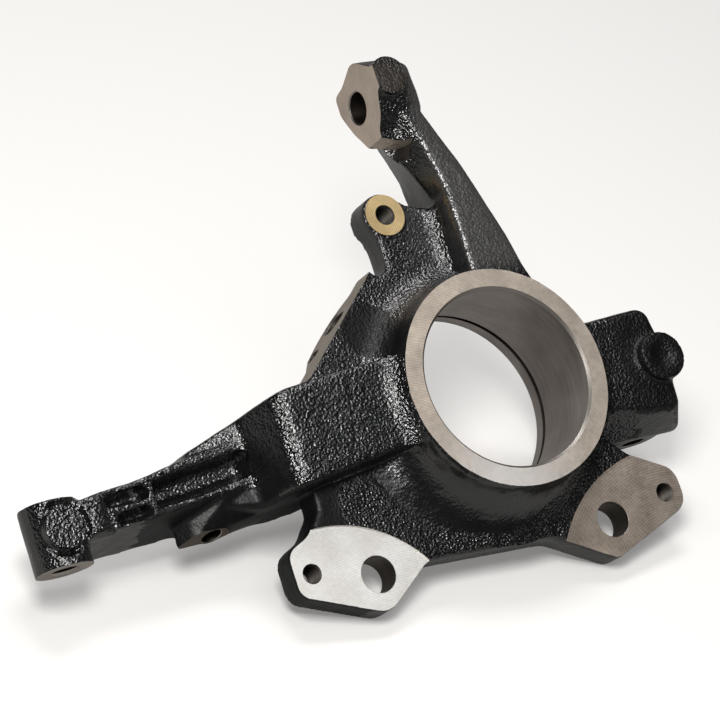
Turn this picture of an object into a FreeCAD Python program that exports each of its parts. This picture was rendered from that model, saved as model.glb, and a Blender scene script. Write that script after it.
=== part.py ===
import FreeCAD, Part
import math
import os
from FreeCAD import Vector

# Steering knuckle, one iron casting with its machined faces and holes.
# Millimetres. The origin is the centre of the bearing seat at its shoulder. +Z runs along the
# bearing axis to the outboard side, +X along the line of the two caliper holes, +Y to the upper arm.
# Names that end in _depth are measured inboard from the outboard face of the hub ring.

# hub ring
seat_d = 84.0            # bearing seat
seat_len = 42.0          # bearing width between the shoulder and the snap ring
lip_d = 75.0             # opening through the shoulder lip
lip_len = 3.5
ring_d = 92.0            # machined outboard face
ring_mid_d = 99.0        # at the mould parting
ring_back_d = 95.0
ring_len = 54.5
groove_d = 88.0          # snap ring groove
groove_w = 2.7
back_bore_d = 84.6       # lead-in behind the groove
bore_chamfer = 1.0
ring_edge = 0.8

# lower plate with the two caliper pads
plate_depth = 19.5       # cast face of the plate
plate_t = 13.5
pad_cut = 0.9            # how far the pads are milled below the cast face
caliper_pitch = 113.0
caliper_x = 40.0         # of the right-hand hole
caliper_y = -63.0
caliper_d = 15.0
shield_d = 7.8           # tapped holes for the splash shield
shield_left_x = -101.0
shield_right_x = 69.0
shield_y = -57.0
flare_r = 60.0           # foot of the wide blend from ring to plate
flare_shift = 5.5
flare_curve = 20.0
cast_round = 2.2         # rounding of the cast edges
arm_round = 2.5
block_round = 3.5

# saddle and left arm
saddle_depth = 6.0
saddle_floor_depth = 49.0
bend_x = -101.0
rail_start_x = -110.5
rail_depth = 26.0
arm_floor_depth = 47.5
channel_deep = 8.5
arm_root_x = -104.0
arm_boss_x = -193.0
arm_boss_depth = 36.0
arm_boss_d = 23.0
arm_boss_face_y = -32.2
arm_boss_len = 26.0
arm_hole_d = 10.5
datum_d = 16.4           # round cast pads on the arm end and on the lug
datum_rise = 1.2
moat_d = 21.5            # smooth hollow round the pad of the arm end
link_x = -128.8          # milled spot under the arm, leaning up a little
link_y = -30.85
link_depth = 38.5
link_lean = 17.5
link_hole_d = 8.5
link_hole_len = 12.0

# upper arm and its lug
upper_depth = 5.0
upper_crease_depth = 15.5
upper_back_depth = 37.5
lug_y = 129.0
lug_depth = 21.4
lug_face_x = -15.5
lug_back_x = 4.5
lug_back_round = 5.0
lug_side_lean = 16.5     # milled flat on the lower side of the lug
lug_datum_depth = 0.3
lug_hole_d = 13.5

# ear plate with the tapped pad, and the sensor flange
ear_depth = 18.0
ear_t = 12.5
ear_x = -21.4
ear_y = 80.2
ear_lobe_d = 19.5
ear_pad_d = 17.0
ear_pad_rise = 0.9
ear_hole_d = 6.8
flange_dist = 66.8       # flange face from the bearing axis
flange_turn = 133.4      # direction of its normal, degrees from +X
flange_r = 27.0
flange_back = 24.0
sensor_d = 12.0
sensor_depth = 31.0
sensor_side = -8.0
sensor_len = 17.0
screw_d = 6.8
screw_depth = 34.5
screw_side = -24.5
screw_len = 14.0

# right-hand block
block_depth = 13.0
block_mid_depth = 29.0
block_floor_depth = 49.0
button_x = 82.6
button_y = -2.1
button_d = 21.0
button_rise = 4.5
dimple_d = 12.0
lower_x = 76.0
lower_depth = 41.0
lower_d = 21.0
lower_face_y = -30.0
lower_tap_d = 10.2
lower_tap_len = 24.0

face_z = lip_len


def level(depth):
    """height of a plane that lies depth inboard of the ring's outboard face"""
    return face_z - depth


def outline(points, place):
    """closed wire through points (a, b, corner radius); place(a, b) gives the point in space"""
    count = len(points)
    runs = []
    for i in range(count):
        a, b, r = points[i]
        corner = Vector(a, b, 0)
        before = Vector(points[i - 1][0], points[i - 1][1], 0) - corner
        after = Vector(points[(i + 1) % count][0], points[(i + 1) % count][1], 0) - corner
        before.normalize()
        after.normalize()
        half = before.getAngle(after) / 2
        if r <= 0 or abs(half - math.pi / 2) < 1e-3:
            runs.append([corner])
            continue
        back = r / math.tan(half)
        middle = before + after
        middle.normalize()
        centre = corner + middle * (r / math.sin(half))
        runs.append([corner + before * back, centre - middle * r, corner + after * back])
    edges = []
    for i in range(count):
        here = [place(p.x, p.y) for p in runs[i]]
        ahead = place(runs[(i + 1) % count][0].x, runs[(i + 1) % count][0].y)
        if len(here) == 3:
            edges.append(Part.Arc(here[0], here[1], here[2]).toShape())
        if here[-1].distanceToPoint(ahead) > 1e-6:
            edges.append(Part.LineSegment(here[-1], ahead).toShape())
    return Part.Wire(edges)


def prism(points, low, high):
    """plan outline between two heights"""
    wire = outline(points, lambda a, b: Vector(a, b, low))
    return Part.Face(wire).extrude(Vector(0, 0, high - low))


def taper(low_points, low, high_points, high):
    """walls that lean from one plan outline to another"""
    bottom = outline(low_points, lambda a, b: Vector(a, b, low))
    top = outline(high_points, lambda a, b: Vector(a, b, high))
    return Part.makeLoft([bottom, top], True, True)


def side_prism(points, y0, y1):
    """outline in X and Z carried along Y"""
    wire = outline(points, lambda a, b: Vector(a, y0, b))
    return Part.Face(wire).extrude(Vector(0, y1 - y0, 0))


def end_prism(points, x0, x1):
    """outline in Y and Z carried along X"""
    wire = outline(points, lambda a, b: Vector(x0, a, b))
    return Part.Face(wire).extrude(Vector(x1 - x0, 0, 0))


def turned(points, centre):
    """outline in radius and Z turned about an upright axis"""
    wire = outline(points, lambda a, b: centre + Vector(a, 0, b))
    return Part.Face(wire).revolve(centre, Vector(0, 0, 1), 360)


def rod(d, start, direction, length):
    return Part.makeCylinder(d / 2, length, start, direction)


def cone(d0, d1, start, direction, length):
    return Part.makeCone(d0 / 2, d1 / 2, length, start, direction)


def rounded(shape, radius, above):
    """cast edges of a solid that reach above a height, rounded"""
    solid = shape.Solids[0]
    return solid.makeFillet(radius, [e for e in solid.Edges if e.BoundBox.ZMax > above])


def cove(foot, curve, z, turn_from, turn_to):
    """concave blend that runs round the ring onto a face at height z, between two directions"""
    base = Vector(0, 0, z)
    middle = Vector(foot - curve * math.sin(math.radians(45)), 0,
                    z + curve * (1 - math.cos(math.radians(45))))
    tip = Vector(foot - curve, 0, z + curve)
    wire = Part.Wire([
        Part.LineSegment(base, Vector(foot, 0, z)).toShape(),
        Part.Arc(Vector(foot, 0, z), middle, tip).toShape(),
        Part.LineSegment(tip, Vector(0, 0, z + curve)).toShape(),
        Part.LineSegment(Vector(0, 0, z + curve), base).toShape()])
    face = Part.Face(wire)
    face.rotate(Vector(0, 0, 0), Vector(0, 0, 1), turn_from)
    body = face.revolve(Vector(0, 0, 0), Vector(0, 0, 1), turn_to - turn_from)
    slab = Part.makeBox(400, 400, face_z - ring_edge - z + 2, Vector(-200, -200, z - 2))
    return body.common(slab)


back_z = level(ring_len)
plate_z = level(plate_depth)
pad_z = plate_z - pad_cut
saddle_z = level(saddle_depth)
rail_z = level(rail_depth)
caliper_left_x = caliper_x - caliper_pitch

# hub ring, fattest at the parting
ring = turned([
    (0, back_z, 0),
    (ring_back_d / 2 - 1, back_z, 0),
    (ring_back_d / 2, back_z + 1, 0),
    (ring_mid_d / 2, back_z + ring_len / 2, 0),
    (ring_d / 2, face_z, 0),
    (0, face_z, 0)], Vector(0, 0, 0))

# plate that carries the caliper pads, wide left pad, waist under the ring, right pad
plate_outline = [
    (-91, -12, 0), (-91, -33, 5), (-98, -42, 8), (-109, -47, 7), (-109, -65, 7), (-73, -79, 9),
    (-50, -62.5, 8), (10, -65, 14), (37, -79.5, 7), (78, -64, 8), (77.5, -48, 9), (58, -38, 10),
    (40, -20, 0), (-40, -8, 0)]
plate = rounded(prism(plate_outline, plate_z - plate_t, plate_z), cast_round, plate_z - 1)

# concave flare from the ring down to the plate, its axis set towards the lower left
flare = cove(flare_r, flare_curve, plate_z, 182, 352)
flare.translate(Vector(-flare_shift, -flare_shift, 0))

# saddle, the deep root of the left arm, with the step down to the rails
saddle_plan = prism([
    (-20, 19, 0), (-61, 18, 60), (-99, 13, 60), (-134, 1, 3), (-134, -20, 0), (-108, -27, 6),
    (-48, -18, 0), (-20, -16, 0)], level(saddle_floor_depth), saddle_z)
saddle_side = side_prism([
    (-20, saddle_z, 0), (bend_x, saddle_z, 9), (rail_start_x, rail_z, 5),
    (-134, rail_z - 5, 0), (-134, level(arm_floor_depth), 0),
    (-95, level(saddle_floor_depth), 0), (-20, level(saddle_floor_depth), 0)], -50, 50)
saddle = rounded(saddle_plan.common(saddle_side), cast_round, rail_z)
skirt = taper(
    [(-116, -28, 0), (-99, -28.7, 0), (-87, -27.2, 0), (-74, -24.3, 0), (-60, -20.5, 0),
     (-60, -5, 0), (-116, -5, 0)], level(saddle_floor_depth),
    [(-116, -27, 0), (-97, -25.2, 0), (-82, -22.9, 0), (-70, -21.1, 0), (-60, -19.6, 0),
     (-60, -5, 0), (-116, -5, 0)], level(saddle_floor_depth) + 12)
saddle_cove = cove(ring_d / 2 + 9, 9, saddle_z, 158, 202)

# left arm, its lower wall leaning out, with a channel along its top
arm_low_z = level(arm_floor_depth)


def arm_plan(points):
    """outline on the left arm: share of its length from the root to the boss, Y, corner radius"""
    return [(arm_root_x + share * (arm_boss_x - arm_root_x), b, r) for share, b, r in points]


arm = taper(
    arm_plan([(0, 6, 0), (0.34, 1, 0), (0.54, -3, 0), (0.83, -6, 0), (0.99, -8, 0),
              (0.99, -30, 0), (0.75, -28.5, 0), (0.45, -27, 0), (0.17, -29, 0), (0, -28, 0)]),
    arm_low_z,
    arm_plan([(0, 2, 0), (0.34, -1.5, 0), (0.54, -5, 0), (0.83, -7.5, 0), (0.99, -10, 0),
              (0.99, -25.5, 0), (0.75, -22.5, 0), (0.45, -20.5, 0), (0.17, -16.5, 0), (0, -14.5, 0)]),
    rail_z)
channel = taper(
    arm_plan([(0.1, -5, 2), (0.35, -7, 0), (0.52, -9.5, 2), (0.52, -14.5, 2), (0.35, -13.5, 0),
              (0.1, -10.5, 2)]), rail_z - channel_deep,
    arm_plan([(0.055, -1.5, 2), (0.35, -4, 0), (0.55, -7, 2), (0.55, -18.5, 2), (0.35, -17, 0),
              (0.055, -13, 2)]), rail_z + 0.1)
pocket_high = taper(
    arm_plan([(0.6, -9.5, 1), (0.74, -10.5, 1), (0.74, -13.5, 1), (0.6, -12.5, 1)]),
    rail_z - channel_deep * 0.8,
    arm_plan([(0.57, -7.5, 2), (0.785, -9, 2), (0.785, -14.5, 2), (0.57, -13.5, 2)]), rail_z + 0.1)
pocket_low = taper(
    arm_plan([(0.6, -17, 0.6), (0.7, -18, 0.6), (0.7, -20, 0.6), (0.6, -19, 0.6)]),
    rail_z - channel_deep * 0.7,
    arm_plan([(0.57, -15.5, 2), (0.75, -16.5, 2), (0.75, -22, 2), (0.57, -20.5, 2)]), rail_z + 0.1)
crest = taper(
    arm_plan([(0.76, -8, 0), (0.93, -9, 0), (0.93, -25.5, 0), (0.76, -24.5, 0)]), rail_z - 2,
    arm_plan([(0.815, -10, 0), (0.885, -10.5, 0), (0.885, -23, 0), (0.815, -22.5, 0)]), rail_z + 1.5)

arm_boss_z = level(arm_boss_depth)
arm_boss = rod(arm_boss_d, Vector(arm_boss_x, arm_boss_face_y, arm_boss_z), Vector(0, 1, 0),
               arm_boss_len)
datum_z = arm_boss_z + arm_boss_d / 2 + datum_rise
datum_y = arm_boss_face_y + 14.0
datum = rod(datum_d, Vector(arm_boss_x, datum_y, arm_boss_z), Vector(0, 0, 1), datum_z - arm_boss_z)
moat = turned([
    (datum_d / 2, datum_z - 4.2, 0), (moat_d / 2 - 1, datum_z - 4.2, 0),
    (moat_d / 2 + 1.5, datum_z + 2, 0), (datum_d / 2, datum_z + 2, 0)],
    Vector(arm_boss_x, datum_y, 0))

# swelling of the lower wall that carries the milled spot of the link hole
swell_edge = [(-122, -18, 0), (-118, -17, 0), (-104, -14.3, 0), (-100, -8, 0), (-122, -8, 0)]
swell_high = [(-138, -32, 0), (-129, -30, 0), (-104, -26, 0), (-100, -8, 0), (-138, -8, 0)]
swell_low = [(-143.5, -34, 0), (-128, -32.3, 0), (-104, -27.5, 0), (-100, -8, 0), (-143.5, -8, 0)]
swell_foot = [(-138, -26, 0), (-127, -31, 0), (-104, -28, 0), (-100, -8, 0), (-138, -8, 0)]
swell_high_z = rail_z - 8.5
swell_low_z = rail_z - 14.0
swell = taper(swell_high, swell_high_z, swell_edge, rail_z)
swell = swell.fuse([taper(swell_low, swell_low_z, swell_high, swell_high_z),
                    taper(swell_foot, arm_low_z, swell_low, swell_low_z)])
link_spot = Vector(link_x, link_y, level(link_depth))
link_out = Vector(0.05, -math.cos(math.radians(link_lean)), math.sin(math.radians(link_lean)))
link_out.normalize()
swell = swell.cut(rod(60, link_spot, link_out, 20))

# upper arm: its left wall leans out from the ridge to a crease, its right wall slopes to the ring
upper_z = level(upper_depth)
upper_crease_z = level(upper_crease_depth)
upper_back_z = level(upper_back_depth)
upper_ridge = [(0, 20, 0), (3, 50, 0), (2.8, 84, 0), (-0.4, 104, 0), (-8, 126, 0), (-8, 132, 0),
               (1, 132, 0), (1.5, 121, 0), (13, 93, 0), (24, 58, 0), (37, 20, 0)]
upper_crease = [(-3, 20, 0), (0.5, 50, 0), (1.6, 83, 0), (-5.5, 98, 0), (-12.5, 108, 0),
                (-12.5, 132, 0), (2, 132, 0), (2.5, 120, 0), (14, 92.5, 0), (25, 57.5, 0), (37.5, 20, 0)]
upper_foot = [(-6, 20, 0), (-2, 50, 0), (2.8, 89, 0), (2.4, 99, 0), (-2.5, 115, 0),
              (-3, 132, 0), (2, 132, 0), (3, 118, 0), (15, 92, 0), (26, 57, 0), (38, 20, 0)]
upper = taper(upper_crease, upper_crease_z, upper_ridge, upper_z)
upper = upper.fuse(taper(upper_foot, upper_back_z, upper_crease, upper_crease_z))
upper = rounded(upper, arm_round, upper_z - 1)
lug_z = level(lug_depth)
lug = end_prism([(lug_y + side, lug_z + up, r) for side, up, r in [
    (-22, 10.9, 1.5), (-14.8, 11.1, 1.5), (-9, 16.3, 4), (-1.5, 18.6, 6), (10.5, 18.6, 3),
    (18.5, 5.4, 7), (12.3, -6.6, 3), (10.8, -14.5, 2.5), (2.5, -14.5, 3), (-8.5, -8.6, 8),
    (-22, 2.4, 2)]], lug_face_x, lug_back_x)
lug = lug.makeFillet(lug_back_round, [e for e in lug.Edges if e.BoundBox.XMin > lug_back_x - 0.1])
lug_datum = rod(datum_d, Vector(lug_face_x + datum_d * 0.4, lug_y + 5.2, lug_z), Vector(0, 0, 1),
                level(lug_datum_depth) - lug_z)
lug_datum = lug_datum.cut(Part.makeBox(20, 60, 60, Vector(lug_face_x - 20, lug_y - 30, lug_z - 10)))
lug_side = Part.makeBox(60, 20, 60, Vector(0, -20, 0))
lug_side.rotate(Vector(0, 0, 0), Vector(0, 0, 1), -lug_side_lean)
lug_side.translate(Vector(lug_face_x - 1, lug_y - 17.7, lug_z - 30))
lug = lug.cut(lug_side)

# ear plate between the upper arm, the flange and the saddle
ear_z = level(ear_depth)
ear_low_z = ear_z - ear_t
flange_n = Vector(math.cos(math.radians(flange_turn)), math.sin(math.radians(flange_turn)), 0)
flange_t = Vector(flange_n.y, -flange_n.x, 0)
flange_foot = flange_n * flange_dist


def on_flange(side, depth):
    """point of the flange face, side along it and depth below the ring face"""
    return flange_foot + flange_t * side + Vector(0, 0, level(depth))


flange_high = on_flange(14.0, ear_depth)
flange_low = on_flange(-43.0, ear_depth)
ear = prism([
    (8, 78, 0), (-10, 83.5, 10), (-19, 90.5, 8), (-31.5, 86, 8), (-27.6, 69, 20), (-27, 59, 6),
    (-33, 52.8, 4), (flange_high.x, flange_high.y, 0), (flange_low.x, flange_low.y, 0),
    (-60, 5, 0), (0, 0, 0), (12, 40, 0)], ear_low_z, ear_z)
ear_cove = cove(ring_d / 2 + 13, 13, ear_z, 84, 164)
upper_cove = side_prism([(6, ear_z - 2, 0), (-6.2, ear_z - 2, 0), (-6.2, ear_z + 9, 0),
                         (6, ear_z + 9, 0)], 34, 79.5).cut(
    rod(18.0, Vector(-6.2, 30, ear_z + 9), Vector(0, 1, 0), 54))
lobe = rod(ear_lobe_d, Vector(ear_x, ear_y, ear_low_z), Vector(0, 0, 1), ear_t)
ear_pad = rod(ear_pad_d, Vector(ear_x, ear_y, ear_low_z), Vector(0, 0, 1), ear_t + ear_pad_rise)
flange_mid = on_flange(-14.5, ear_depth - 5.0)
flange = rod(flange_r * 2, flange_mid, flange_n * -1, flange_back)
flange = flange.cut(Part.makeBox(200, 200, 60, Vector(-150, -50, ear_z)))

# right-hand block, its lower flank leaning out, with a dimpled button on top
block_z = level(block_depth)
block_mid_z = level(block_mid_depth)
block_low_z = level(block_floor_depth)
block_mid = [(30, 21, 0), (90, 24, 6), (93, 4, 8), (94, -31, 5), (30, -31, 0)]
block = taper(block_mid, block_mid_z,
              [(30, 17, 0), (84, 21, 6), (87, 4, 8), (86, -25, 5), (30, -17, 0)], block_z)
block = block.fuse(taper(
    [(30, 19, 0), (86, 21, 6), (89, 4, 8), (89, -27, 5), (30, -26, 0)],
    block_low_z, block_mid, block_mid_z))
block = rounded(block, block_round, block_mid_z + 0.5)
block_cove = cove(ring_d / 2 + 11, 11, block_z, -32, 32)
button = rod(button_d, Vector(button_x, button_y, block_mid_z), Vector(0, 0, 1),
             block_z + button_rise - block_mid_z)
dimple = Part.makeSphere(dimple_d, Vector(button_x, button_y, block_z + button_rise + dimple_d * 0.86))
lower_pad = rod(lower_d, Vector(lower_x, lower_face_y, level(lower_depth)), Vector(0, 1, 0), 20)

casting = ring.fuse([
    plate, flare, saddle, skirt, saddle_cove, arm, crest, arm_boss, datum, swell, upper, lug,
    lug_datum, ear, ear_cove, upper_cove, lobe, ear_pad, flange, block, block_cove, button,
    lower_pad])

# bearing bore from the back, shoulder lip, groove and lead-in
bore = turned([
    (0, back_z - 1, 0), (back_bore_d / 2 + bore_chamfer + 1, back_z - 1, 0),
    (back_bore_d / 2, back_z + bore_chamfer, 0),
    (back_bore_d / 2, -seat_len - groove_w, 0), (groove_d / 2, -seat_len - groove_w, 0),
    (groove_d / 2, -seat_len, 0), (seat_d / 2, -seat_len, 0), (seat_d / 2, 0, 0), (lip_d / 2, 0, 0),
    (lip_d / 2, face_z - bore_chamfer, 0), (lip_d / 2 + bore_chamfer, face_z, 0),
    (lip_d / 2 + bore_chamfer, face_z + 1, 0), (0, face_z + 1, 0)], Vector(0, 0, 0))
cuts = [bore, channel, pocket_high, pocket_low, moat]

# milled pads: a large cutter leaves an arc on the side towards the ring
left_mill = rod(109.0, Vector(-93.5, -94.5, pad_z), Vector(0, 0, 1), 12)
right_mill = rod(129.0, Vector(69.0, -102.0, pad_z), Vector(0, 0, 1), 12)
cuts += [left_mill, right_mill]
down = Vector(0, 0, -1)
for x in (caliper_left_x, caliper_x):
    cuts.append(rod(caliper_d, Vector(x, caliper_y, pad_z + 1), down, plate_t + 4))
    cuts.append(cone(caliper_d + 1.2, caliper_d, Vector(x, caliper_y, pad_z), down, 0.6))
for x in (shield_left_x, shield_right_x):
    cuts.append(rod(shield_d, Vector(x, shield_y, pad_z + 1), down, plate_t + 4))
    cuts.append(cone(shield_d + 1.6, shield_d, Vector(x, shield_y, pad_z), down, 0.8))

# holes of the arms, the ear, the flange and the block
cuts.append(rod(arm_hole_d, Vector(arm_boss_x, arm_boss_face_y - 1, arm_boss_z), Vector(0, 1, 0),
                arm_boss_len + 2))
cuts.append(cone(arm_hole_d + 1.6, arm_hole_d, Vector(arm_boss_x, arm_boss_face_y, arm_boss_z),
                 Vector(0, 1, 0), 0.8))
cuts.append(rod(link_hole_d, link_spot + link_out, link_out * -1, link_hole_len + 1))
cuts.append(rod(lug_hole_d, Vector(lug_face_x - 1, lug_y, lug_z), Vector(1, 0, 0),
                lug_back_x - lug_face_x + 2))
cuts.append(cone(lug_hole_d + 1.6, lug_hole_d, Vector(lug_face_x, lug_y, lug_z), Vector(1, 0, 0), 0.8))
cuts.append(rod(ear_hole_d, Vector(ear_x, ear_y, ear_z + ear_pad_rise + 1), down, ear_t + 4))
cuts.append(cone(ear_hole_d + 2.0, ear_hole_d, Vector(ear_x, ear_y, ear_z + ear_pad_rise), down, 1.0))
inward = flange_n * -1
cuts.append(rod(sensor_d, on_flange(sensor_side, sensor_depth) + flange_n, inward, sensor_len + 1))
cuts.append(cone(sensor_d + 1.6, sensor_d, on_flange(sensor_side, sensor_depth), inward, 0.8))
cuts.append(rod(screw_d, on_flange(screw_side, screw_depth) + flange_n, inward, screw_len + 1))
cuts.append(dimple)
cuts.append(rod(lower_tap_d, Vector(lower_x, lower_face_y - 1, level(lower_depth)),
                Vector(0, 1, 0), lower_tap_len + 1))
casting = casting.cut(cuts[0])
for tool in cuts[1:]:
    casting = casting.cut(tool)

print("solids", len(casting.Solids), "valid", casting.isValid())
print("volume cm3 %.1f  mass kg %.2f" % (casting.Volume / 1000, casting.Volume * 7.1e-6))
box = casting.BoundBox
print("box %.1f %.1f %.1f  %.1f %.1f %.1f" % (box.XMin, box.YMin, box.ZMin, box.XMax, box.YMax, box.ZMax))

os.makedirs("parts", exist_ok=True)
casting.Solids[0].exportStep("parts/knuckle_casting.step")
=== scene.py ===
# %% [markdown]
# # A steering knuckle, cast in iron and machined
#
# A knuckle carries the wheel bearing and ties it to the suspension arms and the brake. It is cast
# in sand, dipped in a glossy black coat, and only then milled, bored and drilled where other parts
# touch it. The same order is followed here: first a soft cast skin, then crisp cuts, each cut with
# the finish of its own tool.
#
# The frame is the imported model: metres, the bearing axis along +Z towards the wheel, +X along the
# line of the two caliper holes, +Y towards the upper arm. The frame's box and the planes of its
# milled faces are kept.

# %% load the frame
import math
import bmesh
import bpy
import numpy as np
from mathutils import Matrix, Vector


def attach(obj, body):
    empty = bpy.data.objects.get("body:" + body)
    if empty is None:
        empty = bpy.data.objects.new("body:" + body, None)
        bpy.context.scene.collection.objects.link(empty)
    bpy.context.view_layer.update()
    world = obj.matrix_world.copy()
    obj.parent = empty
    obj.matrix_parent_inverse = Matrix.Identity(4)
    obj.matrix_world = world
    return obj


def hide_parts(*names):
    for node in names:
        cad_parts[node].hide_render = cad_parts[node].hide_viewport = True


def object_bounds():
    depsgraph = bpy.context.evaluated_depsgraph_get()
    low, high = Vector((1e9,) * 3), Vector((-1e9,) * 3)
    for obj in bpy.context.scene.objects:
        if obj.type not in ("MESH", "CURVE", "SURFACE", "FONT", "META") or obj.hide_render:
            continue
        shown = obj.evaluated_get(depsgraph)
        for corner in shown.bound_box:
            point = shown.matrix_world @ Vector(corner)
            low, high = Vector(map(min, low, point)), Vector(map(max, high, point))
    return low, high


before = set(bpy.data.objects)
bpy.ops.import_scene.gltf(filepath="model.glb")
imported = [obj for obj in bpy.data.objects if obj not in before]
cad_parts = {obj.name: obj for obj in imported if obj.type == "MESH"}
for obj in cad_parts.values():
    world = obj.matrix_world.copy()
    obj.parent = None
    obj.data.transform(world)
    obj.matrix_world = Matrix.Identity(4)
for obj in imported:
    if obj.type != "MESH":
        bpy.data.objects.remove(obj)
cad_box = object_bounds()
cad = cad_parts["knuckle_casting"]
MM = 0.001
print("frame box, mm:", [[round(c / MM, 1) for c in corner] for corner in cad_box])

# %% [markdown]
# ## Finishes
#
# A shader is built as arithmetic on sockets. `Wire` wraps one output and carries the operators, so
# that a pattern reads like its formula; `Finish` holds one material and makes its other nodes.

# %% shader arithmetic


class Wire:
    """one output of a shader node, with arithmetic"""

    def __init__(self, finish, socket):
        self.finish = finish
        self.socket = socket

    def __add__(self, other):
        return self.finish.math("ADD", self, other)

    def __radd__(self, other):
        return self.finish.math("ADD", other, self)

    def __sub__(self, other):
        return self.finish.math("SUBTRACT", self, other)

    def __rsub__(self, other):
        return self.finish.math("SUBTRACT", other, self)

    def __mul__(self, other):
        return self.finish.math("MULTIPLY", self, other)

    def __rmul__(self, other):
        return self.finish.math("MULTIPLY", other, self)

    def __truediv__(self, other):
        return self.finish.math("DIVIDE", self, other)

    def __rtruediv__(self, other):
        return self.finish.math("DIVIDE", other, self)


class Finish:
    """one material and the nodes it is made of"""

    def __init__(self, name):
        self.material = bpy.data.materials.new(name)
        self.material.use_nodes = True
        self.tree = self.material.node_tree
        self.tree.nodes.clear()

    def node(self, kind, settings=None, inputs=None, output=0):
        """a node of any type: its settings first, then its inputs as values or wires"""
        node = self.tree.nodes.new("ShaderNode" + kind)
        for name, value in (settings or {}).items():
            setattr(node, name, value)
        for name, value in (inputs or {}).items():
            if isinstance(value, Wire):
                self.tree.links.new(value.socket, node.inputs[name])
            else:
                node.inputs[name].default_value = value
        return Wire(self, node.outputs[output]) if node.outputs else node

    def math(self, operation, *values):
        return self.node("Math", {"operation": operation}, dict(enumerate(values)))

    def ramp(self, value, low, high):
        """0 below low, 1 above high, smooth between"""
        return self.node("MapRange", {"interpolation_type": "SMOOTHSTEP"},
                         {"Value": value, "From Min": low, "From Max": high})

    def place(self):
        """the point of the surface in the row frame"""
        return self.node("TexCoord", {}, {}, "Object")

    def noise(self, place, pitch, detail=2.0, roughness=0.5):
        """cloudy pattern with lumps of about that pitch, in metres"""
        return self.node("TexNoise", {}, {"Vector": place, "Scale": 1.0 / pitch, "Detail": detail,
                                          "Roughness": roughness})

    def painted(self, name):
        """a value stored on the mesh"""
        return self.node("Attribute", {"attribute_name": name}, {}, "Fac")

    def blend(self, share, first, second):
        """colour between two colours"""
        return self.node("Mix", {"data_type": "RGBA"}, {0: share, 6: first, 7: second}, 2)

    def bump(self, height, depth):
        """normal of a surface with that relief; depth is in metres"""
        return self.node("Bump", {}, {"Height": height, "Distance": depth, "Strength": 1.0})

    def close(self, inputs):
        """the shader itself, joined to the material's output"""
        shader = self.node("BsdfPrincipled", {}, inputs)
        self.node("OutputMaterial", {}, {"Surface": shader})
        return self.material


# %% [markdown]
# ### The coated cast skin
#
# Sand leaves a leathery grain a little over 1 mm across, and the black coat flows into it and stays
# glossy. On drafted side walls the pattern slid out of the sand, so they are smoother. The mesh
# carries how much grain each place has, so the finish only has to scale it. A second, duller
# version of the same skin serves the places whose coat looks like satin.

# %% cast skin


def cast_skin(name, shine, dull):
    """coated casting; shine is the strength of its reflection, dull is added to the roughness"""
    skin = Finish(name)
    place = skin.place()
    grain = skin.painted("grain")
    stain = skin.painted("stain")
    dust = skin.painted("dust")
    bent = skin.node("VectorMath", {"operation": "MULTIPLY_ADD"}, {
        0: skin.node("TexNoise", {}, {"Vector": place, "Scale": 600.0, "Detail": 1.0}, "Color"),
        1: (0.7 * MM, 0.7 * MM, 0.7 * MM), 2: place})
    lumps = skin.node("TexVoronoi", {"feature": "SMOOTH_F1"},
                      {"Vector": bent, "Scale": 1 / (1.15 * MM), "Smoothness": 0.5}, "Distance")
    fine = skin.noise(place, 0.6 * MM, 2.0, 0.6)
    wave = skin.noise(place, 6.0 * MM, 1.0)
    height = (0.9 - lumps) * grain + fine * (grain * 0.4 + 0.04) + wave * 0.9
    normal = skin.bump(height, 0.42 * MM)
    patches = skin.noise(place, 9.0 * MM, 3.0, 0.6)
    black = skin.blend(skin.ramp(patches, 0.35, 0.75) * 0.5,
                       (0.003, 0.003, 0.003, 1), (0.006, 0.0057, 0.0055, 1))
    dusty = skin.blend(dust * fine, black, (0.075, 0.073, 0.071, 1))
    colour = skin.blend(stain, dusty, (0.045, 0.034, 0.024, 1))
    gloss = 0.22 + dull - grain * 0.11 + patches * 0.08 + stain * 0.25
    return skin.close({"Base Color": colour, "Roughness": gloss, "Normal": normal,
                       "Specular IOR Level": shine})


skin = cast_skin("black_coated_cast_skin", 1.0, 0.0)
satin = cast_skin("satin_cast_skin", 0.32, 0.2)

# %% [markdown]
# ### Machined faces
#
# A face mill leaves arcs as wide as its sweep, a boring bar leaves fine rings. Each milled finish
# has a centre of its own, placed so that the arcs run the right way across the face. The distance
# to that centre is turned into a ripple, and slow noise bends and fades it.

# %% milled and bored metal


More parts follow.
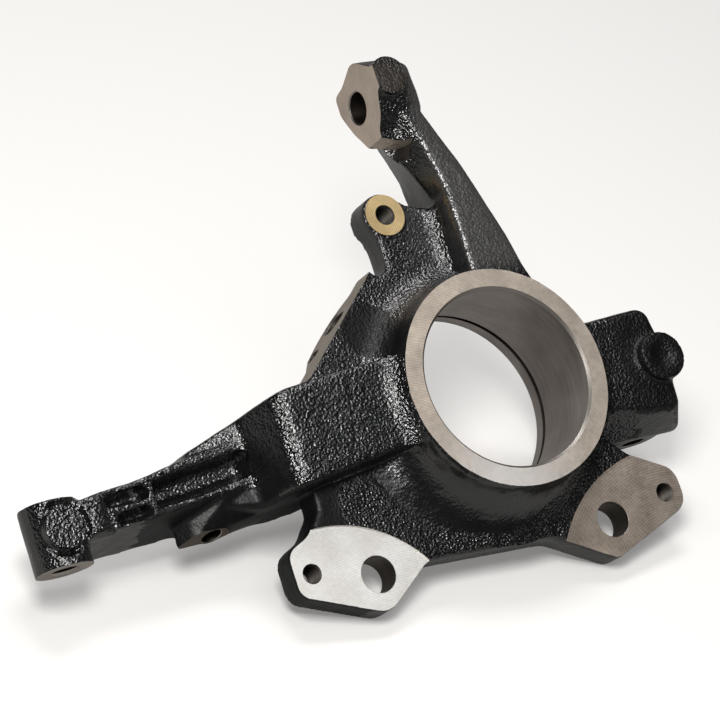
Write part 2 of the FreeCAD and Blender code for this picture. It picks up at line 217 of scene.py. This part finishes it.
def milled(name, centre, pitch, light, dark, gloss=0.34, bend=0.9, depth=0.02, across=0.0,
           painted_highlight=None):
    """face milled about a centre, in mm, with marks of that pitch; across adds a second pass,
    the last argument is a point and a reach in mm: near that point the colour is painted lighter, a painted
    highlight"""
    metal = Finish(name)
    place = metal.place()
    away = metal.node("VectorMath", {"operation": "DISTANCE"},
                      {0: place, 1: [c * MM for c in centre]}, "Value")
    drift = metal.noise(place, 9 * MM, 2.0)
    turn = away / (pitch * MM) + drift * bend
    ripple = metal.math("SINE", turn * (2 * math.pi))
    uneven = metal.noise(place, pitch * 1.7 * MM, 3.0, 0.65)
    marks = ripple * 0.4 + uneven * 1.6
    if across:
        split = metal.node("SeparateXYZ", {}, {0: place}, 0)
        second = metal.math("SINE", (split + away * 0.6) / (pitch * 1.3 * MM) * (2 * math.pi))
        marks = marks + second * across
    cloud = metal.noise(place, 14 * MM, 3.0, 0.6)
    tone = metal.ramp(marks * 0.3 + cloud * 0.9, 0.2, 1.2)
    colour = metal.blend(tone, dark, light)
    # painted highlight: the colour is blended towards near-white around the given point
    if painted_highlight:
        near = metal.node("VectorMath", {"operation": "DISTANCE"},
                          {0: place, 1: [c * MM for c in painted_highlight[:3]]}, "Value")
        colour = metal.blend(1 - metal.ramp(near, 0.0, painted_highlight[3] * MM), colour, (1.0, 0.96, 0.92, 1))
    rough = gloss + uneven * 0.16 + cloud * 0.08
    normal = metal.bump(marks, depth * MM)
    return metal.close({"Base Color": colour, "Roughness": rough, "Metallic": 1.0, "Normal": normal})


# the ring face carries a painted highlight around a point near its rim
ring_face = milled("milled_ring_face", (-60, -42, 3.5), 1.15, (0.86, 0.76, 0.655, 1),
                   (0.53, 0.46, 0.39, 1), 0.42, 1.2, 0.008, painted_highlight=(-14, -44, 3.5, 46))
# the left pad's near-white colour is a painted highlight: it stands in for the lamps it reflects, and is
# lighter than the right pad in the same milled plane
left_pad_painted_highlight = milled("milled_left_pad_painted_highlight", (-60, -190, -17), 1.0, (1.0, 1.0, 0.98, 1),
                  (0.80, 0.77, 0.73, 1), 0.50, 0.5, 0.022)
right_pad = milled("milled_right_pad", (69, -102, -17), 1.1, (0.70, 0.60, 0.51, 1),
                   (0.34, 0.285, 0.24, 1), 0.42, 0.7, 0.012, 0.12)
ear_face = milled("milled_ear_face", (-400, 420, -13.6), 0.8, (0.98, 0.76, 0.42, 1),
                  (0.55, 0.41, 0.21, 1), 0.40, 0.3, 0.02)
lug_face = milled("milled_lug_face", (-15.5, 175, -70), 1.2, (0.9, 0.775, 0.665, 1),
                  (0.64, 0.545, 0.46, 1), 0.44, 1.0, 0.012)
flange_face = milled("milled_flange_face", (-20, 60, -80), 1.2, (0.56, 0.50, 0.43, 1),
                     (0.36, 0.31, 0.26, 1), 0.42, 1.0)
end_face = milled("milled_end_face", (-193, -32.2, -80), 1.0, (0.60, 0.55, 0.50, 1),
                  (0.38, 0.34, 0.30, 1), 0.42, 1.0)
# the link's spot face is dark brown: painted shade, far darker than the other milled faces because it lies
# in shadow
link_spot_painted_shade = milled("milled_link_spot_painted_shade", (-128, -30, -60), 0.9, (0.20, 0.165, 0.14, 1),
                   (0.11, 0.09, 0.075, 1), 0.45, 1.0)


def bored(name, pitch, light, dark, gloss, depth=0.006):
    """turned wall: fine rings along the bearing axis, with a slow band now and then"""
    metal = Finish(name)
    place = metal.place()
    height = metal.node("SeparateXYZ", {}, {0: place}, 2)
    stretched = metal.node("VectorMath", {"operation": "MULTIPLY"}, {0: place, 1: (60, 60, 2400)})
    streak = metal.node("TexNoise", {}, {"Vector": stretched, "Scale": 1.0, "Detail": 3.0,
                                         "Roughness": 0.6})
    ripple = metal.math("SINE", height / (pitch * MM) * (2 * math.pi))
    cloud = metal.noise(place, 18 * MM, 2.0)
    tone = metal.ramp(streak * 0.6 + cloud * 0.5 + ripple * 0.05, 0.3, 0.8)
    colour = metal.blend(tone, dark, light)
    normal = metal.bump(streak + ripple * 0.2, depth * MM)
    return metal.close({"Base Color": colour, "Roughness": gloss + streak * 0.12,
                        "Metallic": 1.0, "Normal": normal})


bore_wall = bored("bored_seat", 0.5, (0.50, 0.445, 0.41, 1), (0.28, 0.25, 0.228, 1), 0.30)
hole_wall = bored("drilled_wall", 0.4, (0.20, 0.175, 0.15, 1), (0.09, 0.078, 0.066, 1), 0.32, 0.01)
edge_cut = bored("chamfer_cut", 0.3, (0.50, 0.465, 0.425, 1), (0.34, 0.31, 0.28, 1), 0.3)
# near-black metal for the bore's snap-ring groove and the tapped holes: painted shade in these recesses
groove_cut_painted_shade = bored("groove_cut_painted_shade", 0.4, (0.10, 0.09, 0.08, 1), (0.05, 0.045, 0.04, 1), 0.5)
FINISHES = [skin, satin, ring_face, left_pad_painted_highlight, right_pad, ear_face, lug_face, flange_face, end_face,
            link_spot_painted_shade, bore_wall, hole_wall, edge_cut, groove_cut_painted_shade]
print("finishes:", len(FINISHES))

# %% [markdown]
# ## The raw casting
#
# The frame's mesh is the finished part. Before it is softened it gets its machining stock back:
# every milled face is built up by a slab, and every hole is plugged, as on the raw casting.
# A face of the frame is found by its plane, so the stock has exactly that face's outline.

# %% planes and holes of the frame, in mm
RING_TOP = 3.5
RING_BACK = -51
PAD_TOP = -16.9
EAR_TOP = -13.6
LUG_FACE_X = -15.5
ARM_END_Y = -32.2
FLANGE_TURN = math.radians(133.4)
FLANGE_DISTANCE = 66.8
LINK_LEAN = math.radians(17.5)
LUG_SIDE_LEAN = math.radians(16.5)
CALIPER_HOLES = ((-73, -63), (40, -63))
SHIELD_HOLES = ((-101, -57), (69, -57))
EAR_HOLE = (-21.4, 80.2)
LUG_HOLE = (129.0, -17.9)
ARM_HOLE = (-193, -32.5)
UNDER_HOLE = (76, -30, -37.5)
SENSOR_HOLE = (-8, -27.5)
SCREW_HOLE = (-24.5, -31.0)
PLUG_START = -29.5

# %% stock on milled faces, plugs in holes
raw = bpy.data.meshes.new("raw_casting")
form = bmesh.new()
form.from_mesh(cad.data)
bmesh.ops.remove_doubles(form, verts=form.verts, dist=1e-6)
frame_faces = len(form.faces)


def stock(point, direction, rise, sink=2.5):
    """slab over all faces of the frame in one plane, rise mm above it and sink mm below"""
    at = Vector(point) * MM
    n = Vector(direction).normalized()
    flat = [f for f in form.faces if f.index < frame_faces and f.normal.dot(n) > 0.999
            and abs((f.verts[0].co - at).dot(n)) < 2e-5]
    copy = bmesh.ops.duplicate(form, geom=flat + list({e for f in flat for e in f.edges})
                               + list({v for f in flat for v in f.verts}))["geom"]
    low = [g for g in copy if isinstance(g, bmesh.types.BMFace)]
    grown = bmesh.ops.extrude_face_region(form, geom=low)["geom"]
    for v in [g for g in grown if isinstance(g, bmesh.types.BMVert)]:
        v.co += n * rise * MM
    for v in {v for f in low for v in f.verts}:
        v.co -= n * sink * MM
    bmesh.ops.reverse_faces(form, faces=[f for f in low if f.is_valid and f.normal.dot(n) > 0])
    return len(low)


def plug(point, direction, radius, length):
    """cylinder that fills a hole, from a point along a direction, in mm"""
    n = Vector(direction).normalized()
    turn = n.to_track_quat("Z", "Y").to_matrix().to_4x4()
    made = bmesh.ops.create_cone(form, cap_ends=True, segments=48, radius1=radius * MM,
                                 radius2=radius * MM, depth=length * MM)["verts"]
    turn.translation = (Vector(point) + n * length / 2) * MM
    bmesh.ops.transform(form, matrix=turn, verts=made)


form.faces.index_update()
flange_n = Vector((math.cos(FLANGE_TURN), math.sin(FLANGE_TURN), 0))
flange_t = Vector((flange_n.y, -flange_n.x, 0))
link_spot = Vector((-128.8, -30.85, -35.0))
link_out = Vector((0.05, -math.cos(LINK_LEAN), math.sin(LINK_LEAN))).normalized()
lug_side = Vector((-math.sin(LUG_SIDE_LEAN), -math.cos(LUG_SIDE_LEAN), 0))


def on_flange(side, height, out=0.0):
    """point in mm beside the middle of the sensor flange"""
    return flange_n * (FLANGE_DISTANCE + out) + flange_t * side + Vector((0, 0, height))


slabs = [
    stock((0, 0, RING_TOP), (0, 0, 1), 2.0),
    stock((0, 0, RING_BACK), (0, 0, -1), 2.0),
    stock((0, 0, PAD_TOP), (0, 0, 1), 0.9),
    stock((LUG_FACE_X, 0, 0), (-1, 0, 0), 1.5),
    stock((0, ARM_END_Y, 0), (0, -1, 0), 1.5),
    stock(link_spot, link_out, 1.2),
    stock(on_flange(0, 0), flange_n, 1.5),
]
print("faces built up with stock:", slabs)
plug((0, 0, -52.5), (0, 0, 1), 45.0, 57.5)
for place in CALIPER_HOLES:
    plug((*place, PLUG_START), (0, 0, 1), 8.6, 13.5)
for place in SHIELD_HOLES:
    plug((*place, PLUG_START), (0, 0, 1), 5.2, 13.5)
plug((*EAR_HOLE, -27.0), (0, 0, 1), 5.0, 13.4)
plug((-17.0, *LUG_HOLE), (1, 0, 0), 8.0, 21.5)
plug((ARM_HOLE[0], -33.7, ARM_HOLE[1]), (0, 1, 0), 6.6, 27.5)
plug(link_spot + link_out * 1.2, -link_out, 4.8, 13.6)
plug(UNDER_HOLE, (0, 1, 0), 5.8, 25.0)
plug(on_flange(*SENSOR_HOLE, 1.5), -flange_n, 7.2, 19.5)
plug(on_flange(*SCREW_HOLE, 1.5), -flange_n, 3.9, 16.5)
form.to_mesh(raw)
form.free()
casting = bpy.data.objects.new("cast_knuckle", raw)
bpy.context.scene.collection.objects.link(casting)
print("raw faces:", len(raw.polygons))

# %% [markdown]
# ## Softening
#
# Molten iron never fills a sharp corner and a pattern never leaves one. A fine voxel remesh joins
# the pieces into one skin, and a few rounds of smoothing round every edge and inner corner a
# little. Two flanks are then made fuller, a slow cloud makes the skin uneven, and the points are
# held to the frame's box. At the bottom the box is the plane of the ring's back face itself, so
# no stock is left there for the back cut to remove.

# %% remesh, smooth, uneven
VOXEL = 0.9 * MM
SMOOTHING_ROUNDS = 3
FLANK_GROWTH = 1.7
RIDGE_GROWTH = 0.8
CLOUD_SIZE = 0.012
CLOUD_HEIGHT = 0.5 * MM
ROOM_ABOVE_BOX = (0, -0.15, 9)
SHARE_KEPT = 0.42


def apply(obj, kind, **settings):
    """adds one modifier and applies it"""
    change = obj.modifiers.new("change", kind)
    for key, value in settings.items():
        setattr(change, key, value)
    with bpy.context.temp_override(object=obj, active_object=obj, selected_objects=[obj]):
        bpy.ops.object.modifier_apply(modifier=change.name)


apply(casting, "REMESH", mode="VOXEL", voxel_size=VOXEL, adaptivity=0.0)
print("skin after remesh:", len(casting.data.polygons))
apply(casting, "SMOOTH", factor=0.5, iterations=SMOOTHING_ROUNDS)


def points(mesh):
    """positions in mm and normals of all vertices"""
    found = []
    for kind in ("co", "normal"):
        values = np.empty(len(mesh.vertices) * 3)
        mesh.vertices.foreach_get(kind, values)
        found.append(values.reshape(-1, 3))
    return found[0] / MM, found[1]


def step(value, low, high):
    """0 below low, 1 above high"""
    share = np.clip((value - low) / (high - low), 0, 1)
    return share * share * (3 - 2 * share)


co, normal = points(casting.data)
x, y, z = co.T
flank = step(normal[:, 0], 0.1, 0.6) * step(y, 44, 62) * step(-y, -134, -118) * step(x, -6, 0)
ridge = step(normal[:, 1], 0.1, 0.6) * step(-x, 60, 75) * step(x, -165, -150) * step(y, -20, 0)
co[:, 0] += flank * FLANK_GROWTH
co[:, 1] += ridge * RIDGE_GROWTH
casting.data.vertices.foreach_set("co", (co * MM).ravel())
casting.data.update()
print("fuller flanks: %d of %d points" % ((flank + ridge > 0.1).sum(), len(co)))
cloud = bpy.data.textures.new("slow_cloud", "CLOUDS")
cloud.noise_scale = CLOUD_SIZE
apply(casting, "DISPLACE", texture=cloud, texture_coords="LOCAL", strength=CLOUD_HEIGHT, mid_level=0.5)
co, normal = points(casting.data)
co = np.clip(co, np.array(cad_box[0]) / MM, np.array(cad_box[1]) / MM + ROOM_ABOVE_BOX)
casting.data.vertices.foreach_set("co", (co * MM).ravel())
apply(casting, "DECIMATE", decimate_type="COLLAPSE", ratio=SHARE_KEPT, use_collapse_triangulate=True)
print("skin, triangles:", len(casting.data.polygons))

# %% [markdown]
# ## Machining
#
# Each tool is a closed body with the finish that it leaves. Round tools are turned profiles, so a
# drill and its countersink are one body. The two shield holes and the ear's hole get a true spiral:
# the profile of one thread turn is repeated up the wall and joined to itself one pitch higher after
# each turn. The other tapped holes stay plain.
# The bore's snap-ring groove and the spiral taps get a near-black finish: painted shade in these recesses.

# %% tools


def tool(name, verts, faces, finish, faces_finish=None):
    """closed mesh that carries every finish, so that its cuts keep the right one"""
    mesh = bpy.data.meshes.new(name)
    mesh.from_pydata([v * MM for v in verts], [], faces)
    for item in FINISHES:
        mesh.materials.append(item)
    slot = FINISHES.index(finish)
    mesh.polygons.foreach_set("material_index", faces_finish or [slot] * len(faces))
    obj = bpy.data.objects.new(name, mesh)
    bpy.context.scene.collection.objects.link(obj)
    return obj


def turned(name, profile, start, direction, steps=96):
    """body turned about an axis; profile is (radius, distance along it, finish of the next face)"""
    n = Vector(direction).normalized()
    side = n.orthogonal().normalized()
    other = n.cross(side)
    verts = [Vector(start) + n * profile[0][1], Vector(start) + n * profile[-1][1]]
    faces = []
    finishes = []
    middle = profile[1:-1]
    for k in range(steps):
        a = 2 * math.pi * k / steps
        ray = side * math.cos(a) + other * math.sin(a)
        verts += [Vector(start) + n * h + ray * r for r, h, f in middle]
    rows = len(middle)
    for k in range(steps):
        here = 2 + k * rows
        ahead = 2 + (k + 1) % steps * rows
        faces.append((0, ahead, here))
        finishes.append(FINISHES.index(profile[0][2]))
        for i in range(rows - 1):
            faces.append((here + i, ahead + i, ahead + i + 1, here + i + 1))
            finishes.append(FINISHES.index(middle[i][2]))
        faces.append((1, here + rows - 1, ahead + rows - 1))
        finishes.append(FINISHES.index(middle[-1][2]))
    return tool(name, verts, faces, skin, finishes)


def drill(name, start, direction, radius, length, chamfer):
    """drill with a countersink at its mouth; start is in the mouth's plane"""
    lead = 1.2
    return turned(name, [
        (0, -lead, edge_cut), (radius + chamfer + lead, -lead, edge_cut),
        (radius + chamfer, 0, edge_cut), (radius, chamfer, hole_wall),
        (radius, length, hole_wall), (0, length, hole_wall)], start, direction, 64)


def tap(name, start, direction, radius, length, chamfer, pitch, steps=40):
    """tapped hole: core, then a spiral groove of that pitch cut into the wall"""
    n = Vector(direction).normalized()
    side = n.orthogonal().normalized()
    other = n.cross(side)
    wall = [(0.0, 0.0), (0.12, 0.0), (0.5, 0.52), (0.62, 0.52)]
    turns = int((length - chamfer) / pitch) + 2
    shape = [(chamfer + (i + share) * pitch, radius + lift * pitch)
             for i in range(-3, turns) for share, lift in wall]
    per = len(wall)
    rows = len(shape) - per
    verts = [Vector(start) - n * 4, Vector(start) + n * (length + 3 * pitch)]
    for k in range(steps):
        a = 2 * math.pi * k / steps
        ray = side * math.cos(a) + other * math.sin(a)
        for h, r in shape:
            up = h + pitch * k / steps
            if up < chamfer:
                r = radius + chamfer - up
            verts.append(Vector(start) + n * up + ray * r)
    count = len(shape)

    def at(k, i):
        if k < steps:
            return 2 + k * count + i
        return 2 + i + per

    faces = []
    for k in range(steps):
        for i in range(rows - 1):
            faces.append((at(k, i), at(k + 1, i), at(k + 1, i + 1), at(k, i + 1)))
    low = [at(k, 0) for k in range(steps)] + [at(0, i) for i in range(per, 0, -1)]
    high = [at(k, rows - 1) for k in range(steps)] + [at(0, i) for i in range(rows - 1 + per, rows - 1, -1)]
    for loop, hub, flip in ((low, 0, False), (high, 1, True)):
        for a, b in zip(loop, loop[1:] + loop[:1]):
            faces.append((hub, a, b) if flip else (hub, b, a))
    # the tapped wall takes the near-black groove finish: painted shade
    return tool(name, verts, faces, groove_cut_painted_shade)


def block(name, low, high, finish, turn=None, centre=None):
    """box cutter between two corners, or about a centre with its own axes"""
    corners = [Vector((x, y, z)) for x in (low[0], high[0]) for y in (low[1], high[1])
               for z in (low[2], high[2])]
    if turn:
        corners = [Vector(centre) + turn[0] * c.x + turn[1] * c.y + turn[2] * c.z for c in corners]
    faces = [(0, 1, 3, 2), (4, 6, 7, 5), (0, 4, 5, 1), (2, 3, 7, 6), (0, 2, 6, 4), (1, 5, 7, 3)]
    return tool(name, corners, faces, finish)


up = (0, 0, 1)
down = (0, 0, -1)
flange_axes = (-flange_t, Vector((0, 0, 1)), flange_n)
cuts = [
    block("face_ring", (-60, -60, RING_TOP), (60, 60, 9), ring_face),
    block("face_back", (-60, -60, -58), (60, 60, RING_BACK), end_face),
    # the snap-ring groove takes the near-black finish: painted shade
    turned("bore_seat", [
        (0, -53, end_face), (44.0, -53, edge_cut), (42.3, -50, bore_wall), (42.3, -44.7, groove_cut_painted_shade),
        (44.0, -44.7, groove_cut_painted_shade), (44.0, -42.0, groove_cut_painted_shade), (42.0, -42.0, bore_wall),
        (42.0, 0, bore_wall), (37.5, 0, bore_wall), (37.5, 2.5, edge_cut), (41.5, 6.5, edge_cut),
        (0, 6.5, edge_cut)], (0, 0, 0), up, 256),
    turned("mill_left_pad", [(0, 0, left_pad_painted_highlight), (54.5, 0, left_pad_painted_highlight), (54.5, 12, left_pad_painted_highlight),
                             (0, 12, left_pad_painted_highlight)], (-93.5, -94.5, PAD_TOP), up, 256),
    turned("mill_right_pad", [(0, 0, right_pad), (64.5, 0, right_pad), (64.5, 12, right_pad),
                              (0, 12, right_pad)], (69, -102, PAD_TOP), up, 256),
    block("mill_lug", (-20, 100, -40), (LUG_FACE_X, 152, 8), lug_face),
    turned("mill_lug_side", [(0, 0, lug_face), (10, 0, skin), (10, 7, skin), (0, 7, skin)],
           (-12, 110.25, -8.5), lug_side, 96),
    block("mill_arm_end", (-210, -37, -48), (-176, ARM_END_Y, -17), end_face),
    turned("mill_link", [(0, 0, link_spot_painted_shade), (16, 0, link_spot_painted_shade), (16, 9, link_spot_painted_shade), (0, 9, link_spot_painted_shade)],
           link_spot, link_out, 96),
    block("mill_flange", (-30, -30, 0), (30, 30, 5), flange_face, flange_axes, on_flange(-14.5, -11.5)),
    drill("caliper_hole_left", (*CALIPER_HOLES[0], PAD_TOP), down, 7.5, 16, 0.15),
    drill("caliper_hole_right", (*CALIPER_HOLES[1], PAD_TOP), down, 7.5, 16, 0.15),
    drill("lug_hole", (LUG_FACE_X, *LUG_HOLE), (1, 0, 0), 6.75, 24, 0.5),
    drill("arm_end_hole", (ARM_HOLE[0], ARM_END_Y, ARM_HOLE[1]), (0, 1, 0), 5.25, 30, 0.8),
    drill("sensor_hole", on_flange(*SENSOR_HOLE), -flange_n, 6.0, 17, 0.8),
    drill("sensor_screw", on_flange(*SCREW_HOLE), -flange_n, 3.4, 14, 0.4),
    drill("link_hole", link_spot, -link_out, 4.25, 12, 0.3),
    drill("under_hole", UNDER_HOLE, (0, 1, 0), 5.1, 24, 0.3),
    tap("shield_left", (*SHIELD_HOLES[0], PAD_TOP), down, 3.75, 16, 0.35, 1.25),
    tap("shield_right", (*SHIELD_HOLES[1], PAD_TOP), down, 3.75, 16, 0.35, 1.25),
    turned("mill_ear", [(0, 0, ear_face), (9.6, 0, ear_face), (9.6, 4, ear_face),
                        (0, 4, ear_face)], (*EAR_HOLE, EAR_TOP), up, 96),
    tap("ear_tap", (*EAR_HOLE, EAR_TOP), down, 3.4, 16, 1.0, 1.25),
]
print("tools:", len(cuts))

# %% [markdown]
# The ear's round pad is spot-faced: its rim is as crisp as its top, so it is joined to the skin as
# a sharp disc before the cuts. The two small datum discs, on the lug and at the arm's end, are
# joined in the same way. The button on the block stays as it was cast.

# %% join the discs and cut
casting.data.materials.clear()
for item in FINISHES:
    casting.data.materials.append(item)
ear_disc = turned("ear_disc", [(0, -20, skin), (8.9, -20, skin), (8.9, EAR_TOP, ear_face),
                               (0, EAR_TOP, ear_face)], (*EAR_HOLE, 0), up, 96)
lug_datum = turned("lug_datum", [(0, -6, skin), (8.15, -6, skin), (8.15, 3.2, skin),
                                 (0, 3.2, skin)], (-8.94, 134.2, 0), up, 96)
arm_datum = turned("arm_datum", [(0, -27, skin), (8.15, -27, skin), (8.15, -19.8, skin),
                                 (0, -19.8, skin)], (-193, -18.2, 0), up, 96)


def join_or_cut(operation, body):
    apply(casting, "BOOLEAN", operation=operation, object=body, solver="MANIFOLD")
    bpy.data.objects.remove(body)
    return len(casting.data.polygons)


for body in (ear_disc, lug_datum, arm_datum):
    print("joined:", join_or_cut("UNION", body))
for body in cuts:
    name = body.name
    print(name, join_or_cut("DIFFERENCE", body))

# %% [markdown]
# ## What the skin remembers
#
# How grainy each spot is, and where the coat is stained, dusty or satin, is worked out from the
# form: faces that lay level in the mould are rough, drafted walls and the wide hollow under the
# ring are smooth. The swelling, the block's level face, the corner between ear and saddle and the
# saddle's side wall are satin.

# %% paint grain, stain and dust, pick the satin places
mesh = casting.data
co, normal = points(mesh)
x, y, z = co.T
level = step(np.abs(normal[:, 2]), 0.25, 0.7)
radius = np.hypot(x + 14, y + 3)
hollow = np.maximum(step(-radius, -56.5, -53.5), step(y, -28, -25) * step(-x, 50, 56))
hollow *= step(z, -17.6, -16.6) * step(-y, 8, 20) * (1 - step(-x, 40, 46) * step(z, -8, -5))
upper = step(y, 42, 52) * step(x, -4, 2) * step(z, -12, -6)
grain = 0.16 + 0.84 * level
grain *= 1 - 0.72 * hollow
grain *= 1 - 0.35 * upper
swelling = step(x, -165, -155) * step(-x, 78, 84) * step(-y, 16, 20) * step(-z, 13, 15)
grain *= 1 - 0.75 * swelling
from_corner = np.hypot(x + 46, y - 33)
grain *= 1 - 0.5 * step(-from_corner, -14, -6)
near_ear = step(-from_corner, -15, -9)
saddle_side = (step(-normal[:, 1], 0.3, 0.6) * step(x, -115, -108) * step(-x, 44, 50)
               * step(-y, 14, 18) * step(y, -34, -30) * step(z, -17, -15))
matt = np.maximum.reduce([swelling, near_ear, saddle_side, step(x, 62, 66) * level])
stain = step(-np.hypot(x + 26, y - 42), -17, -4) * step(z, -15, -8) * 0.6
datum = step(-np.hypot(x + 9, y - 134.2), -8.6, -7.6) * step(z, 2.2, 2.8)
stain = np.maximum(stain, datum * 0.35)
grain *= 1 - 0.45 * datum
dust = upper * level
for name, values in (("grain", grain), ("stain", stain), ("dust", dust)):
    layer = mesh.attributes.new(name, "FLOAT", "POINT")
    layer.data.foreach_set("value", values.astype(np.float32))
for face in mesh.polygons:
    if face.material_index == 0 and matt[face.vertices[0]] > 0.5:
        face.material_index = FINISHES.index(satin)
mesh.polygons.foreach_set("use_smooth", [True] * len(mesh.polygons))
mesh.set_sharp_from_angle(angle=math.radians(38))
print("casting triangles:", sum(len(p.vertices) - 2 for p in mesh.polygons))

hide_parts("knuckle_casting")
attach(casting, "root")

# %% [markdown]
# ## The studio
#
# The part leans on a white table: the ring's inboard rim and the two caliper pads touch it. A small
# key light stands at the upper left, a wide panel hangs above, and a third light stands low, beyond
# the upper arm. The table and the sky are darker to reflections than to the eye, so the coated
# walls stay dark.

# %% table
lean = Vector((0.005, 0.577, 0.817)).normalized()
lowest = min(float(v @ np.array(lean)) for v in co) * MM
across = Vector((1, 0, 0)).cross(lean).normalized()
along = lean.cross(across)
table_mesh = bpy.data.meshes.new("table")
middle = lean * lowest
table_mesh.from_pydata([middle + along * a + across * b for a, b in
                        ((-4, -4), (4, -4), (4, 4), (-4, 4))], [], [(0, 1, 2, 3)])
table = bpy.data.objects.new("table", table_mesh)
bpy.context.scene.collection.objects.link(table)
if table_mesh.polygons[0].normal.dot(lean) < 0:
    table_mesh.flip_normals()
white = Finish("white_table")
seen = white.node("LightPath", {}, {}, "Is Camera Ray")
behind = white.node("NewGeometry", {}, {}, "Backfacing")
paper = white.node("AddShader", {}, {
    0: white.node("BsdfDiffuse", {}, {"Color": (0.60, 0.59, 0.577, 1)}),
    1: white.node("Emission", {}, {"Color": (1.0, 0.985, 0.965, 1), "Strength": 0.20})})
mirrored = white.node("LightPath", {}, {}, "Is Glossy Ray")
dim = white.node("BsdfDiffuse", {}, {"Color": (0.0, 0.0, 0.0, 1)})
paper = white.node("MixShader", {}, {0: mirrored * 0.6, 1: paper, 2: dim})
clear = white.node("BsdfTransparent")
white.node("OutputMaterial", {}, {"Surface": white.node(
    "MixShader", {}, {0: seen * behind, 1: paper, 2: clear})})
table_mesh.materials.append(white.material)

# %% lights and sky
scene = bpy.context.scene


def soft_box(name, towards, distance, width, height, power, colour=(1, 1, 1)):
    """area light that faces the part"""
    light = bpy.data.lights.new(name, "AREA")
    light.shape = "RECTANGLE"
    light.size = width
    light.size_y = height
    light.energy = power
    light.color = colour
    obj = bpy.data.objects.new(name, light)
    way = Vector(towards).normalized()
    obj.location = way * distance
    obj.rotation_euler = way.to_track_quat("Z", "Y").to_euler()
    scene.collection.objects.link(obj)


soft_box("key", (-0.485, 0.207, 0.86), 1.0, 0.36, 0.30, 9.5, (1.0, 0.99, 0.975))
soft_box("panel", (-0.05, 0.33, 1.3), 1.36, 1.2, 0.6, 3.5)
soft_box("behind", (0.10, 0.98, 0.50), 1.4, 0.7, 0.4, 9.5)
sky = bpy.data.worlds.new("sky")
scene.world = sky
sky.use_nodes = True
nodes = sky.node_tree.nodes
nodes.clear()
links = sky.node_tree.links
path = nodes.new("ShaderNodeLightPath")
shares = {}
for name, strength in (("spread", 0.22), ("gloss", 0.03), ("seen", 1.0)):
    shares[name] = nodes.new("ShaderNodeBackground")
    shares[name].inputs["Color"].default_value = (1, 1, 1, 1)
    shares[name].inputs["Strength"].default_value = strength
glossy = nodes.new("ShaderNodeMixShader")
direct = nodes.new("ShaderNodeMixShader")
out = nodes.new("ShaderNodeOutputWorld")
links.new(path.outputs["Is Glossy Ray"], glossy.inputs[0])
links.new(shares["spread"].outputs[0], glossy.inputs[1])
links.new(shares["gloss"].outputs[0], glossy.inputs[2])
links.new(path.outputs["Is Camera Ray"], direct.inputs[0])
links.new(glossy.outputs[0], direct.inputs[1])
links.new(shares["seen"].outputs[0], direct.inputs[2])
links.new(direct.outputs[0], out.inputs["Surface"])

# %% camera at the photo's viewing angle
back = Vector((-0.495, -0.207, 0.844)).normalized()
right = Vector((0.854, -0.297, 0.428))
right = (right - back * right.dot(back)).normalized()
above = back.cross(right)
camera = bpy.data.cameras.new("camera")
camera.lens = 139.3
camera.sensor_width = 36
eye = bpy.data.objects.new("camera", camera)
scene.collection.objects.link(eye)
scene.camera = eye
eye.matrix_world = Matrix(((right.x, above.x, back.x, -0.6037),
                           (right.y, above.y, back.y, -0.2079),
                           (right.z, above.z, back.z, 0.9244), (0, 0, 0, 1)))
scene.render.resolution_x = 720
scene.render.resolution_y = 720
scene.view_settings.view_transform = "Standard"
